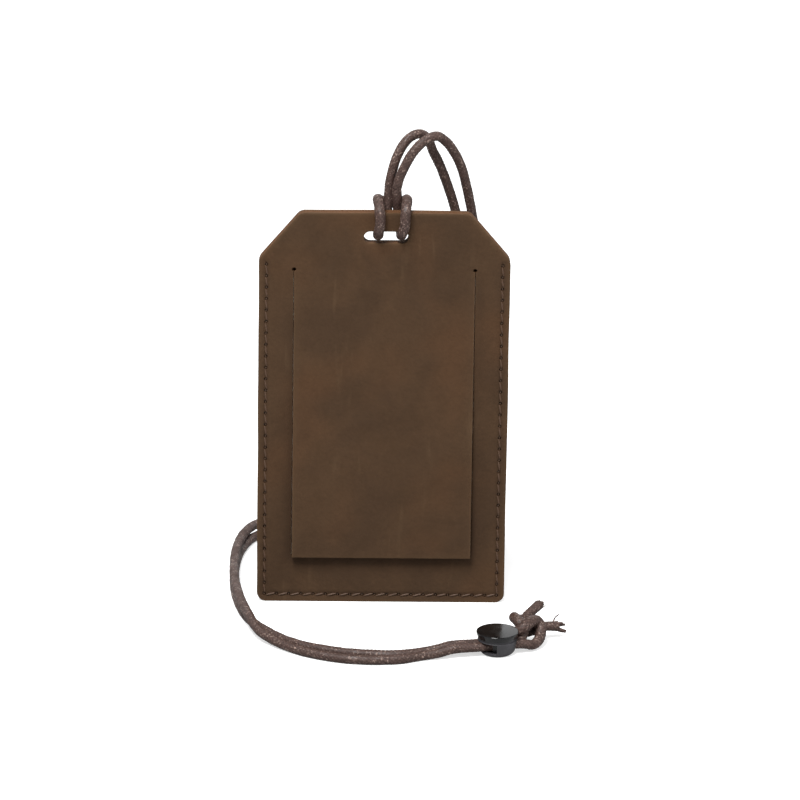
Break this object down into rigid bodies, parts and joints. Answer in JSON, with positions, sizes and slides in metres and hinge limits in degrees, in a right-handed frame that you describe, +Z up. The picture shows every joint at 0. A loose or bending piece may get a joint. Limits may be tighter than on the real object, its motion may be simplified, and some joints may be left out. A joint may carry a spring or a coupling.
{
  "type": "luggage tag",
  "caption": "Stitched leather luggage tag with a privacy flap over an address card, and a doubled waxed cord with a cord lock and a knot.",
  "frame": {"origin": "middle of the tag's bottom edge, on the surface that it stands on, centred in width and in depth over the leather, flap and thread", "axes": "+Z up along the tag's length, the front with the flap faces -Y, +X to the right seen from the front"},
  "size_m": [0.0974, 0.1221, 0.1425],
  "materials": {
    "leather": "matte waxed pull-up leather, dark brown and mottled, lighter on its cut edges",
    "card": "plain uncoated card",
    "thread": "waxed polyester thread",
    "waxed_cord": "braided cotton cord with a wax coat",
    "black_plastic": "glossy moulded plastic",
    "spring_steel": "drawn wire"
  },
  "bodies": {
    "tag": {"back_panel": "leather", "front_panel": "leather", "seam_thread": "thread", "cord_strand_inner": "waxed_cord", "cord_strand_outer": "waxed_cord", "cord_hitch": "waxed_cord", "cord_knot": "waxed_cord", "cord_tail_a": "waxed_cord", "cord_tail_b": "waxed_cord"},
    "flap": {"privacy_flap": "leather"},
    "card": {"address_card": "card"},
    "cord_lock": {"lock_barrel": "black_plastic", "lock_spring": "spring_steel"},
    "lock_button": {"lock_button": "black_plastic"}
  },
  "joints": [
    {"name": "flap_hinge", "type": "hinge", "parent": "tag", "child": "flap", "pos_m": [0, -0.00082, 0.1028], "axis": [-1, 0, 0], "range_deg": [-1.2, 150], "stiffness_Nm_per_rad": 0.02},
    {"name": "card_slide", "type": "slide", "parent": "tag", "child": "card", "axis": [0, 0, 1], "range_m": [0, 0.0085]},
    {"name": "lock_slide", "type": "slide", "parent": "tag", "child": "cord_lock", "axis": [-0.9744, -0.225, 0], "range_m": [0, 0.008]},
    {"name": "lock_press", "type": "slide", "parent": "cord_lock", "child": "lock_button", "axis": [0, 0, -1], "range_m": [0, 0.0007], "stiffness_N_per_m": 500, "springref_m": -0.002, "deforming": ["lock_spring"]}
  ]
}
